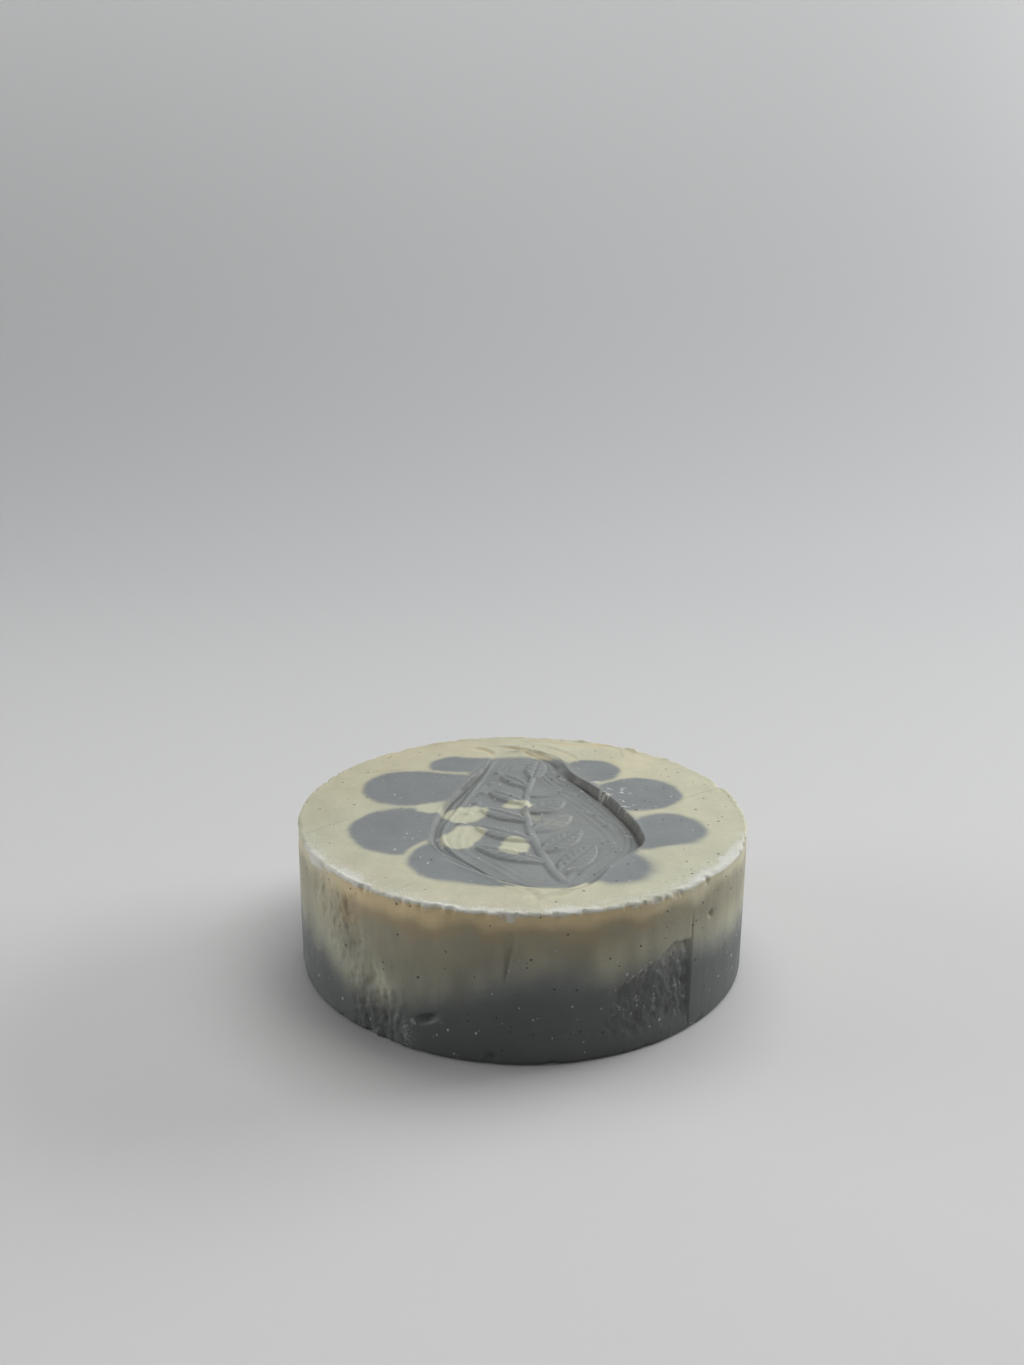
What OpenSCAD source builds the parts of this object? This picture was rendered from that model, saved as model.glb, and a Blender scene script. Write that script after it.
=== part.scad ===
// Shaving soap puck, cast in cream and grey soap and stamped while soft.
// Millimetres, +Z up, origin at the middle of the underside.
// Each pour, petal and island of coloured soap is a solid of its own, bonded face to face.

/* [Puck] */
// Diameter of the puck
puck_d = 76; // [74:1:90]
// Thickness between the two flat faces
puck_h = 25; // [20:0.5:35]
// Height where the grey lower pour ends and the cream upper pour begins
pour_z = 12; // [9:0.5:14]
// Radius of the rounded bottom edge
foot_r = 0.8; // [0.4:0.1:1.5]
// Height of the lip that the cutter leaves on the top edge
lip_h = 0.3; // [0.1:0.05:0.6]
// Width of that lip
lip_w = 0.8; // [0.5:0.1:1.5]

/* [Upper swirl] */
// Least width of a vein of soap between two petals
vein_w = 1; // [0.6:0.1:1.4]
// Width of the grey core under the stamp
core_w = 36; // [35.5:0.5:38]
// Length of the grey core
core_l = 56; // [54:0.5:58]
// Radius of the core's lower end
core_end_r = 11; // [9:0.5:13]
// Radius of the core's upper end
core_top_r = 10.5; // [9:0.5:12]
// Radius of the outer end of the largest petal, which the others follow
petal_r = 9.4; // [8.6:0.1:9.8]
// How far each petal's root reaches into the core's outline
root_depth = 4; // [3:0.5:5]
// Least distance from a petal to the stamped oval, and from an end petal to the core
stamp_gap = 0.6; // [0.4:0.1:0.7]
// Radius of the largest cream island in the core, which the others follow
island_r = 3.4; // [3:0.1:3.5]

/* [Underside swirl] */
// Diameter of the cream heart of the underside
heart_d = 24; // [20:0.5:28]
// Diameter of the grey eye in the middle of the heart
eye_d = 6; // [4:0.5:9]
// Number of cream petals around the heart
under_petals = 8; // [6:1:9]
// Width of grey soap between a cream petal's tip and the edge
under_rim = 8; // [7:0.5:9.5]
// Radius of a cream petal's outer end
under_tip_r = 7; // [5:0.5:7]
// Radius of a cream petal's root
under_root_r = 4; // [3:0.5:5]

/* [Stamp] */
// Width of the stamped field, which is an oval with a narrow upper end
stamp_w = 34; // [32:0.5:34.5]
// Length of the stamped field
stamp_l = 61; // [59:0.5:63]
// Radius of the field's lower end
stamp_end_r = 10; // [8:0.5:12]
// Radius of the field's upper end
stamp_top_r = 8; // [7:0.5:10]
// How far the field's widest place lies below its middle
stamp_belly = 8; // [5:0.5:10]
// How far the stamp's middle lies to the right of the puck's middle
stamp_x = 1.7; // [0:0.1:2.5]
// How far the stamp's middle lies in front of the puck's middle
stamp_y = 0.5; // [0:0.1:1.5]
// Turn of the stamp, anticlockwise
stamp_turn = 3; // [0:0.5:6]
// Depth of the stamped field at its middle
stamp_depth = 1.6; // [1.4:0.1:2.4]
// Slant of the field, because the stamp was pressed harder on its right side
stamp_tilt = 1; // [0:0.25:1.5]
// Height of the ornament above the field
relief_h = 0.9; // [0.6:0.1:1.1]
// Width of the raised line that runs round the field
line_w = 0.9; // [0.7:0.1:1.4]
// Distance from the field's edge to that line
line_inset = 1.3; // [1:0.1:1.8]
// Diameter of the sprig's stem
stem_d = 1.7; // [1.3:0.1:2.2]
// Radius of the stem's curve
stem_curve_r = 75; // [65:1:90]
// How far the stem's foot stands above the raised line
stem_foot = 3; // [2:0.5:4]
// How far the middle of the stem stands to the left of the field's middle
stem_shift = 1; // [0.5:0.25:1.5]
// Distance from the stem's foot to the first leaf
first_leaf = 3; // [2:0.5:4]
// Length of the lowest leaves
leaf_l = 13.5; // [12:0.5:14.5]
// Width of the lowest leaves
leaf_w = 5; // [4:0.1:5.2]
// How much shorter the uppermost leaves are, as a share
leaf_taper = 0.5; // [0.3:0.05:0.55]
// Length of the leaf at the stem's end
tip_leaf_l = 9; // [7:0.5:10]
// Distance between that leaf and the raised line
tip_gap = 2; // [1:0.5:3]
// Number of leaves on each side of the stem
leaf_pairs = 5; // [4:1:5]
// Angle between a leaf and the stem
leaf_angle = 50; // [44:1:52]
// Diameter of the groove along a leaf
rib_d = 0.8; // [0.5:0.1:1.1]
// Diameter of a pearl beside the sprig
pearl_d = 2; // [1.6:0.1:2.4]
// Number of pearls on each side
pearls = 6; // [4:1:7]
// Distance between a pearl and the raised line
pearl_gap = 0.6; // [0.4:0.1:1]

/* [Hidden] */
$fn = 96;
puck_r = puck_d / 2;
top_z = puck_h;
stamp_at = [stamp_x, -stamp_y];
through = 1;

// Grey petals of the top face: place and radius of the tip, then the place where the root
// meets the core's edge and the root's radius. A place is a share of the core's half width
// and half length, and a radius is a share of petal_r.
PETALS = [
    [[-1.22, 0.38], 0.88, [-0.75, 0.54], 0.52],
    [[-0.79, 0.78], 0.5, [-0.5, 0.92], 0.42],
    [[0.61, 0.72], 0.58, [0.43, 0.74], 0.54],
    [[1.05, 0.32], 0.8, [0.86, 0.25], 0.54],
    [[1.24, -0.23], 0.68, [1.07, -0.43], 0.54],
    [[0.68, -0.75], 0.66, [0.6, -0.8], 0.54],
    [[-0.69, -0.69], 0.8, [-0.34, -0.93], 0.68],
    [[-1.16, -0.29], 1, [-1.06, -0.05], 0.6]
];
// The petals beside the core's two ends, which keep clear of it
END_PETALS = [1, 2, 5, 6];

// Cream islands in the grey core: place and radius of each of the island's two ends. A place
// is a share of the core's half width and half length, and a radius a share of island_r.
ISLANDS = [
    [[-0.67, 0], 1, [-0.56, 0.057], 0.765],
    [[-0.69, -0.39], 0.85, [-0.6, -0.26], 0.8],
    [[-0.189, -0.5], 0.618, [-0.156, -0.407], 0.647],
    [[-0.2, 0.171], 0.441, [-0.067, 0.186], 0.382]
];

cream = "#c8c5a2";
grey = "#7a8386";

// ---- Outlines ----

// How far neighbouring curves of one outline overlap, so that it closes cleanly
weld = 0.02;

// Two discs and the strip between their outer tangents, grown by a margin
module pear(p, p_r, q, q_r, grow = 0) {
    gap = norm(q - p);
    lean = atan2(q.y - p.y, q.x - p.x);
    translate(p) circle(r = p_r + grow);
    translate(q) circle(r = q_r + grow);
    if (gap > abs(p_r - q_r)) {
        turn = acos((p_r - q_r) / gap);
        left = [cos(lean + turn), sin(lean + turn)];
        right = [cos(lean - turn), sin(lean - turn)];
        p_reach = p_r + grow - weld;
        q_reach = q_r + grow - weld;
        polygon([
            p + p_reach * right, q + q_reach * right, q + q_reach * left, p + p_reach * left
        ]);
    }
}

// An oval that narrows upward: three discs in a row and the strips between them
module egg(w, l, end_r, top_r, grow = 0) {
    belly = [0, -stamp_belly];
    pear(belly, w / 2, [0, l / 2 - top_r], top_r, grow);
    pear(belly, w / 2, [0, end_r - l / 2], end_r, grow);
}

module core_outline(margin = 0) {
    translate(stamp_at) rotate(stamp_turn) egg(core_w, core_l, core_end_r, core_top_r, margin);
}

module stamp_field(margin = 0) {
    egg(stamp_w, stamp_l, stamp_end_r, stamp_top_r, margin);
}

function toward(a, distance) = distance * [cos(a), sin(a)];

// A place given as a share of the core's half width and half length
function in_core(share) = stamp_at + [share.x * core_w, share.y * core_l] / 2;

// A place on the core's edge, moved towards the core's middle
function rooted(place) = place - root_depth * (place - stamp_at) / norm(place - stamp_at);

module petal_body(petal, grow = 0) {
    pear(in_core(petal[0]), petal[1] * petal_r,
        rooted(in_core(petal[2])), petal[3] * petal_r, grow);
}

// A petal gives way to the stamp and to the petal before it, and an end petal to the core
module petal_with_root(i) {
    last = len(PETALS) - 1;
    difference() {
        petal_body(PETALS[i]);
        translate(stamp_at) rotate(stamp_turn) stamp_field(stamp_gap);
        if (len(search(i, END_PETALS)) > 0) core_outline(stamp_gap);
        if (i > 0) petal_body(PETALS[i - 1], vein_w);
        if (i == last) petal_body(PETALS[0], vein_w);
    }
}

module petal_outline(i) {
    difference() {
        petal_with_root(i);
        core_outline();
    }
}

module island_outline(i) {
    island = ISLANDS[i];
    pear(in_core(island[0]), island[1] * island_r, in_core(island[2]), island[3] * island_r);
}

module under_petal_body(i, grow = 0) {
    a = 360 / under_petals * i + 11;
    tip = toward(a, puck_r - under_rim - under_tip_r);
    root = toward(a + 8, heart_d / 2 - under_root_r);
    pear(tip, under_tip_r, root, under_root_r, grow);
}

module under_petal_with_root(i) {
    difference() {
        under_petal_body(i);
        if (i > 0) under_petal_body(i - 1, vein_w);
        if (i == under_petals - 1) under_petal_body(0, vein_w);
    }
}

module under_petal_outline(i) {
    difference() {
        under_petal_with_root(i);
        circle(d = heart_d);
    }
}

// ---- Stamp ----

stem_low = -(stamp_l / 2 - line_inset - line_w - stem_foot);
stem_high = stamp_l / 2 - line_inset - line_w - tip_gap - tip_leaf_l;

// The stem is an arc about a point far to the right: its lean and its place at a height y
function stem_lean(y) = asin(y / stem_curve_r);
function stem_x(y) = stem_curve_r * (1 - cos(stem_lean(y))) - stem_shift;

module stem() {
    lower = stem_lean(stem_low);
    upper = stem_lean(stem_high);
    translate([stem_curve_r - stem_shift, 0, -stamp_depth / 2])
        rotate([0, 0, 180 - upper]) rotate_extrude(angle = upper - lower)
            translate([stem_curve_r - stem_d / 2, 0])
                square([stem_d, stamp_depth / 2 + relief_h * 0.8]);
}

// A leaf that starts at the origin and points along +X: pointed at both ends, with a back
// that falls away on both sides of a groove. A short leaf is narrower too.
module leaf(l) {
    w = leaf_w * (1 + l / leaf_l) / 2;
    side_r = (l * l + w * w) / (4 * w);
    intersection() {
        translate([0, 0, -stamp_depth / 2]) linear_extrude(stamp_depth + relief_h)
            intersection() {
                translate([l / 2, side_r - w / 2]) circle(r = side_r);
                translate([l / 2, w / 2 - side_r]) circle(r = side_r);
                translate([w / 12, -w / 2]) square([l - w / 6, w]);
            }
        translate([-through, 0, 0]) rotate([90, 0, 90]) linear_extrude(l + 2 * through) polygon([
            [-leaf_w, -stamp_depth], [leaf_w, -stamp_depth], [leaf_w, -relief_h * 0.2],
            [rib_d / 2, relief_h], [0, relief_h - rib_d / 2], [-rib_d / 2, relief_h],
            [-leaf_w, -relief_h * 0.2]
        ]);
    }
}

// Leaves in turn on the right and the left of the stem, and one at its end
module leaves() {
    first = stem_low + first_leaf;
    step = (stem_high - first) / leaf_pairs;
    for (i = [0 : leaf_pairs - 1], side = [-1, 1]) {
        y = first + step * (i + (side > 0 ? 0 : 0.5));
        translate([stem_x(y), y, 0])
            rotate([0, 0, 90 - stem_lean(y) - side * leaf_angle])
                leaf(leaf_l * (1 - leaf_taper * (y - first) / (stem_high - first)));
    }
    translate([stem_x(stem_high), stem_high, 0])
        rotate([0, 0, 90 - stem_lean(stem_high)]) leaf(tip_leaf_l);
}

// Pearls in a row along each straight side of the field, inside the raised line
module pearls() {
    rise = stamp_l / 2 - stamp_top_r + stamp_belly;
    slope = asin((stamp_w / 2 - stamp_top_r) / rise);
    reach = stamp_w / 2 - line_inset - line_w - pearl_gap - pearl_d / 2;
    for (i = [0 : pearls - 1], side = [-1, 1]) {
        up = rise * (i + 1) / (pearls + 0.5);
        translate([side * (reach - up * sin(slope)) / cos(slope), up - stamp_belly,
                relief_h - pearl_d / 2])
            sphere(d = pearl_d, $fn = 24);
    }
}

// The raised line, which follows the field's edge
module line() {
    translate([0, 0, -stamp_depth / 2])
        linear_extrude((stamp_depth + relief_h) / 2) difference() {
            stamp_field(-line_inset);
            stamp_field(-line_inset - line_w);
        }
}

// What the stamp presses away: the field less the ornament that is left standing
module stamp_bite() {
    translate([stamp_at.x, stamp_at.y, top_z - stamp_depth]) rotate([0, stamp_tilt, stamp_turn])
        difference() {
            linear_extrude(2 * stamp_depth) stamp_field();
            stem();
            leaves();
            pearls();
            line();
        }
}

// ---- Pours ----

module in_upper_tier() {
    translate([0, 0, pour_z]) linear_extrude(top_z - pour_z) children();
}

module in_lower_tier() {
    linear_extrude(pour_z) children();
}

// Half section of the upper pour, with the lip that stands at its outer edge
module upper_section() {
    polygon([
        [0, pour_z], [puck_r, pour_z], [puck_r, top_z + lip_h / 2],
        [puck_r - lip_w / 3, top_z + lip_h], [puck_r - lip_w, top_z], [0, top_z]
    ]);
}

// Half section of the lower pour, with its rounded foot
module lower_section() {
    translate([0, foot_r]) square([puck_r, pour_z - foot_r]);
    square([puck_r - foot_r, pour_z]);
    intersection() {
        translate([puck_r - foot_r, foot_r]) circle(r = foot_r);
        square([puck_r, pour_z]);
    }
}

module cream_upper_pour() {
    color(cream) difference() {
        rotate_extrude() upper_section();
        translate([0, 0, pour_z - through]) linear_extrude(top_z - pour_z + 2 * through) {
            core_outline();
            for (i = [0 : len(PETALS) - 1]) petal_with_root(i);
        }
        stamp_bite();
    }
}

module grey_petal(i) {
    color(grey) in_upper_tier() petal_outline(i);
}

module grey_core() {
    color(grey) difference() {
        in_upper_tier() difference() {
            core_outline();
            for (i = [0 : len(ISLANDS) - 1]) island_outline(i);
        }
        stamp_bite();
    }
}

module cream_island(i) {
    color(cream) difference() {
        in_upper_tier() island_outline(i);
        stamp_bite();
    }
}

module grey_lower_pour() {
    color(grey) difference() {
        rotate_extrude() lower_section();
        translate([0, 0, -through]) linear_extrude(pour_z + 2 * through) {
            circle(d = heart_d);
            for (i = [0 : under_petals - 1]) under_petal_with_root(i);
        }
    }
}

module cream_petal(i) {
    color(cream) in_lower_tier() under_petal_outline(i);
}

module cream_heart() {
    color(cream) in_lower_tier() difference() {
        circle(d = heart_d);
        circle(d = eye_d);
    }
}

module grey_eye() {
    color(grey) in_lower_tier() circle(d = eye_d);
}

grey_lower_pour();
cream_upper_pour();
grey_core();
cream_heart();
grey_eye();
for (i = [1 : len(PETALS)])
    grey_petal(i - 1);
for (i = [1 : len(ISLANDS)])
    cream_island(i - 1);
for (i = [1 : under_petals])
    cream_petal(i - 1);
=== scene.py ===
import math

import bpy
import numpy as np
from mathutils import Matrix, Vector, kdtree


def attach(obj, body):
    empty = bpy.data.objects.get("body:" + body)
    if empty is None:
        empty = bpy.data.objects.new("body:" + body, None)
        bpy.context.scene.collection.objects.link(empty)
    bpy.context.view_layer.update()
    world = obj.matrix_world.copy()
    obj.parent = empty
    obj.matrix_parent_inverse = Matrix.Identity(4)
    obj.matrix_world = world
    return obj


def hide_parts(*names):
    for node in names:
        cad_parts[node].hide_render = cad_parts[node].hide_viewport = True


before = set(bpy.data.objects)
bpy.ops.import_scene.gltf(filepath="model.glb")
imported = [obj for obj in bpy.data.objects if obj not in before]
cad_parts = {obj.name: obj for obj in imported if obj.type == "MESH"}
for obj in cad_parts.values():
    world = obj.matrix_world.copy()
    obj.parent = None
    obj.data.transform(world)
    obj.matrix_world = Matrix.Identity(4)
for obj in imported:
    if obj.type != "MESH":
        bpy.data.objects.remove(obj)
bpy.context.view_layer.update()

# ---- The cast blank ----
# The puck is a slice of soap that was poured into a tube, pushed out and cut off.
# All lengths are in millimetres here, and each finished piece is scaled to metres.

PUCK_R = 38.0
PUCK_H = 25.0
POUR_Z = 12.0
FOOT_R = 0.8
LIP_H = 0.3
LIP_W = 0.8
TOP_CELLS = 304
BASE_CELLS = TOP_CELLS // 2
WALL_STEP = 0.3
FOOT_STEP = 18
FIRST_RING = 0.75

# Random values at the corners of a grid of cells, which lumps blends and repeats
CELLS = 40
lattice = np.random.default_rng(76).uniform(-1, 1, (CELLS, CELLS, CELLS))


def smooth(low, high, x):
    """0 below low, 1 above high, and an S-curve between them."""
    t = np.clip((x - low) / (high - low), 0, 1)
    return t * t * (3 - 2 * t)


def lumps(x, y, z, size, octaves=3, shift=0.0):
    """Soft random lumps from about -1 to 1, of that size in millimetres."""
    total, share, whole = 0.0, 1.0, 0.0
    for k in range(octaves):
        cell, part = [], []
        for axis, value in enumerate((x, y, z)):
            q = value / size * 2 ** k + shift + 7.3 * k + 3.1 * axis
            base = np.floor(q)
            f = q - base
            cell.append(base.astype(int))
            part.append(f * f * (3 - 2 * f))
        value = 0.0
        for i in (0, 1):
            for j in (0, 1):
                for n in (0, 1):
                    weight = ((part[0] if i else 1 - part[0])
                              * (part[1] if j else 1 - part[1])
                              * (part[2] if n else 1 - part[2]))
                    value = value + weight * lattice[
                        (cell[0] + i) % CELLS, (cell[1] + j) % CELLS, (cell[2] + n) % CELLS]
        total, whole, share = total + value * share, whole + share, share * 0.5
    return total / whole * 1.6


def peak(distance, width):
    """1 at no distance, and a smooth fall to nearly 0 at twice that width."""
    return np.exp(-(distance / width) ** 2)


def around(x, y):
    """The direction of a point on the puck, in degrees: -90 is the front and 0 the right."""
    return np.degrees(np.arctan2(y, x))


# ---- The stamp ----
# A carved die was pressed into the top while the soap was still soft, a little harder on its
# right side: an oval with a narrow upper end, and on it a sprig of leaves, pearls and a line.

STAMP_X, STAMP_Y = 1.7, -0.5
STAMP_TURN = math.radians(3)
STAMP_W = 34.0
STAMP_L = 61.0
STAMP_END_R = 10.0
STAMP_TOP_R = 8.0
STAMP_BELLY = 8.0
STAMP_DEPTH = 1.6
STAMP_TILT = 1.0
RELIEF_H = 0.9
LINE_W = 0.9
LINE_INSET = 1.3
STEM_D = 1.7
STEM_CURVE_R = 75.0
STEM_FOOT = 3.0
STEM_SHIFT = 1.0
FIRST_LEAF = 3.0
LEAF_L = 13.5
LEAF_W = 5.0
LEAF_TAPER = 0.5
TIP_LEAF_L = 9.0
TIP_GAP = 2.0
LEAF_PAIRS = 5
LEAF_ANGLE = 50.0
RIB_D = 0.8
PEARL_D = 2.0
PEARLS = 6
PEARL_GAP = 0.6


def in_stamp(x, y):
    """A place on the puck, as the stamp's own across and along."""
    c, s = math.cos(STAMP_TURN), math.sin(STAMP_TURN)
    x, y = x - STAMP_X, y - STAMP_Y
    return x * c + y * s, y * c - x * s


def pear_edge(x, y, p, p_r, q, q_r):
    """Distance from the edge of two discs and the strip between them, negative inside."""
    gap = math.hypot(q[0] - p[0], q[1] - p[1])
    ex, ey = (q[0] - p[0]) / gap, (q[1] - p[1]) / gap
    along = (x - p[0]) * ex + (y - p[1]) * ey
    across = np.abs((y - p[1]) * ex - (x - p[0]) * ey)
    b = (p_r - q_r) / gap
    a = math.sqrt(1 - b * b)
    k = across * -b + along * a
    return np.where(k < 0, np.hypot(across, along) - p_r,
                    np.where(k > a * gap, np.hypot(across, along - gap) - q_r,
                             across * a + along * b - p_r))


def egg_edge(u, v, w, l, end_r, top_r):
    """Distance from the edge of an oval that narrows upward: three discs in a row."""
    belly = (0, -STAMP_BELLY)
    return np.minimum(pear_edge(u, v, belly, w / 2, (0, l / 2 - top_r), top_r),
                      pear_edge(u, v, belly, w / 2, (0, end_r - l / 2), end_r))


def field_edge(u, v):
    return egg_edge(u, v, STAMP_W, STAMP_L, STAMP_END_R, STAMP_TOP_R)


stem_low = -(STAMP_L / 2 - LINE_INSET - LINE_W - STEM_FOOT)
stem_high = STAMP_L / 2 - LINE_INSET - LINE_W - TIP_GAP - TIP_LEAF_L


def stem_lean(v):
    return math.asin(v / STEM_CURVE_R)


def stem_x(v):
    return STEM_CURVE_R * (1 - math.cos(stem_lean(v))) - STEM_SHIFT


def rounded(distance, half_width):
    """Height of a rounded ridge, from 1 along its middle to 0 at its sides."""
    return np.sqrt(np.clip(1 - (distance / half_width) ** 2, 0, 1))


def leaf_height(u, v, at, heading, length):
    """A pointed leaf with a groove along it and finer grooves out to its edge."""
    c, s = math.cos(heading), math.sin(heading)
    along = (u - at[0]) * c + (v - at[1]) * s
    across = np.abs((v - at[1]) * c - (u - at[0]) * s)
    width = LEAF_W * (1 + length / LEAF_L) / 2
    side_r = (length ** 2 + width ** 2) / (4 * width)
    reach = np.sqrt(np.clip(side_r ** 2 - (along - length / 2) ** 2, 0, None))
    inside = reach - side_r + width / 2 - across
    back = RELIEF_H * (1 - 1.2 * np.clip(across - RIB_D / 2, 0, None) / (LEAF_W - RIB_D / 2))
    groove = 0.40 * peak(across, 0.5 * RIB_D)
    vein = np.abs((along - across * 1.1) % 1.7 - 0.85)
    fine = 0.15 * peak(vein, 0.25) * smooth(0.3, 0.8, across)
    shape = (back - groove - fine) * smooth(0, 0.4, inside)
    return np.where((along > 0) & (along < length), np.clip(shape, 0, None), 0)


def sprig_height(u, v):
    """Height of the whole ornament above the stamped field."""
    from_arc = np.hypot(u - STEM_CURVE_R + STEM_SHIFT, v) - STEM_CURVE_R
    taper = STEM_D / 2 * (1 - 0.35 * smooth(stem_low, stem_high, v))
    on_stem = smooth(stem_low - 0.4, stem_low + 0.3, v) * smooth(stem_high + 1.5, stem_high, v)
    height = RELIEF_H * 0.8 * rounded(from_arc, taper) * on_stem
    first = stem_low + FIRST_LEAF
    step = (stem_high - first) / LEAF_PAIRS
    for i in range(LEAF_PAIRS):
        for side in (-1, 1):
            at = first + step * (i + (0 if side > 0 else 0.5))
            heading = math.radians(90 - side * LEAF_ANGLE) - stem_lean(at)
            length = LEAF_L * (1 - LEAF_TAPER * (at - first) / (stem_high - first))
            height = np.maximum(height, leaf_height(u, v, (stem_x(at), at), heading, length))
    height = np.maximum(height, leaf_height(u, v, (stem_x(stem_high), stem_high),
                                            math.radians(90) - stem_lean(stem_high), TIP_LEAF_L))
    rise = STAMP_L / 2 - STAMP_TOP_R + STAMP_BELLY
    slope = math.asin((STAMP_W / 2 - STAMP_TOP_R) / rise)
    reach = STAMP_W / 2 - LINE_INSET - LINE_W - PEARL_GAP - PEARL_D / 2
    for i in range(PEARLS):
        up = rise * (i + 1) / (PEARLS + 0.5)
        for side in (-1, 1):
            pearl_u = side * (reach - up * math.sin(slope)) / math.cos(slope)
            away = np.hypot(u - pearl_u, v - up + STAMP_BELLY)
            height = np.maximum(height, 0.6 * RELIEF_H * smooth(1.1, 0.1, away / (PEARL_D / 2)))
    border = rounded(field_edge(u, v) + LINE_INSET + LINE_W / 2, LINE_W / 2)
    return np.maximum(height, RELIEF_H / 2 * border)


def stamp_side(u, v):
    """Where the die left a steep, torn wall: along the right side and the upper left."""
    right = smooth(2, 6, u) * smooth(-17, -10, v) * smooth(24, 17, v)
    left = smooth(-4, -7, u) * smooth(-1, 4, v) * smooth(25, 20, v)
    return np.clip(right + 0.6 * left, 0, 1)


# Where the soft soap gave way under the die's edge: how far along, how far out, how long
GAVE_RIGHT = [(19, -1.1, 5), (4, 0.5, 5), (-13.5, 0.7, 3.5), (-21, -0.6, 4)]
GAVE_LEFT = [(5, 1.1, 7), (24, -1.0, 5), (-13, 0.6, 5), (-24, -0.8, 5)]
# Furrows that the die drew as it was lifted: start, middle, end, depth and width
FURROWS = [((-6.5, 32), (1.5, 30), (7, 20.5), 0.32, 0.40),
           ((-10, 31), (-7, 30), (-5.5, 27), 0.22, 0.45),
           ((-2, 31.5), (3, 27.5), (8.5, 19.5), 0.28, 0.35),
           ((1, 33.5), (7, 30), (11, 23), 0.10, 0.50),
           ((-1, -29.5), (1.6, -31.5), (1.6, -34.5), 0.16, 0.60),
           ((4, -32.5), (7, -30), (11.5, -26.5), 0.22, 0.50),
           ((2, -31.5), (5, -29.3), (8.5, -26), 0.26, 0.50),
           ((-12, -19), (-5, -25), (4, -29), 0.20, 0.35)]


def stamp_edge(x, y):
    """Distance from the pressed edge, with the wander that the soft soap gave it."""
    u, v = in_stamp(x, y)
    z = 0 * u
    edge = field_edge(u, v)
    for side, places in ((1, GAVE_RIGHT), (-1, GAVE_LEFT)):
        for at, out, long in places:
            edge = edge - out * peak(v - at, long) * smooth(1, 5, side * u)
    return edge + 0.3 * lumps(u, v, z, 9.0, 2, 14.0) + 0.05 * lumps(u, v, z, 1.4, 3, 4.0)


def furrow(x, y, start, middle, end, width):
    """A furrow that bends through three places: its floor, and the ridge pushed up beside it."""
    (ax, ay), (bx, by), (cx, cy) = start, middle, end
    d = 2 * (ax * (by - cy) + bx * (cy - ay) + cx * (ay - by))
    a2, b2, c2 = ax * ax + ay * ay, bx * bx + by * by, cx * cx + cy * cy
    ox = (a2 * (by - cy) + b2 * (cy - ay) + c2 * (ay - by)) / d
    oy = (a2 * (cx - bx) + b2 * (ax - cx) + c2 * (bx - ax)) / d
    off = np.hypot(x - ox, y - oy) - math.hypot(ax - ox, ay - oy)
    length = math.hypot(cx - ax, cy - ay)
    along = ((x - ax) * (cx - ax) + (y - ay) * (cy - ay)) / length ** 2
    bend = math.copysign(1 / length, (bx - ax) * (cy - ay) - (by - ay) * (cx - ax))
    aside = ((x - ax) * (cy - ay) - (y - ay) * (cx - ax)) * bend
    fade = smooth(-0.08, 0.25, along) * smooth(1.08, 0.75, along)
    fade = fade * smooth(-2 * width, -width, aside)
    return (peak(off, width) - 0.5 * peak(off - 2.2 * width, width)) * fade


def drag_marks(x, y):
    """How far all the furrows cut into the top."""
    return sum(deep * furrow(x, y, *ends, width) for *ends, deep, width in FURROWS)


# The soap sprang back when the die was lifted, and kept this share of the depth
SPRUNG = 0.74
# Faint lines run round the bare field, this far apart and this high
RING_STEP, RING_H = 1.5, 0.20


def pressed(x, y):
    """How far the stamp pushed the top down at a point."""
    u, v = in_stamp(x, y)
    edge = stamp_edge(x, y)
    steep = stamp_side(u, v)
    depth = SPRUNG * STAMP_DEPTH + u * math.tan(math.radians(STAMP_TILT))
    depth = depth - 0.3 * (1 - steep) * smooth(3, -3, u)
    at_top = smooth(15, 27, v)
    at_ends = np.maximum(smooth(0.70, 1.0, -v / (STAMP_L / 2)), at_top)
    wall = smooth(0.10, -0.35 - 1.4 * at_ends - 0.3 * (1 - steep), edge)
    groove = 0.35 * steep * peak(edge + 0.6, 0.35)
    groove = groove + 0.3 * smooth(0, -6, u) * (1 - at_ends) * peak(edge + 0.4, 0.3)
    worn = np.clip(0.85 + 0.3 * lumps(u, v, 0 * u, 6.0, 2, 15.0), 0.55, 1.05)
    carved = sprig_height(u, v)
    rings = 0.5 + 0.5 * np.cos(2 * math.pi * (edge + 0.12 * v) / RING_STEP)
    rings = rings * smooth(-2.2, -2.9, edge) * smooth(-7.5, -5.0, edge)
    rings = rings * smooth(0.25, 0.0, carved) * (0.6 + 0.4 * smooth(-2, 4, u))
    sprig = SPRUNG * (carved + RING_H * rings) * wall * (1 - 0.3 * at_ends) * worn
    return depth * (1 - 0.55 * at_ends) * wall + groove - sprig + drag_marks(x, y)


# ---- Marks of the cutter, the tube and the hand ----
# The wire left a frosty, crumbled lip round the top, the tube tore the wall where the soap
# stuck to it, and handling left dents and nicks.

RIM_ROUND = 0.7
RIM_DROP = 0.42
LIP_LIMIT = PUCK_H + 1.8 * LIP_H
# Burrs that the wire left on the rim: the direction, how high for its kind, and half its width
BURRS = [(80, 0.7, 3), (71, 0.9, 2.5), (55, 0.8, 3), (42, 0.8, 2.5), (-94, 0.5, 4)]
BURR_H = 0.34
NOTCH_AT, NOTCH_DEEP = 20, 0.5


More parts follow.
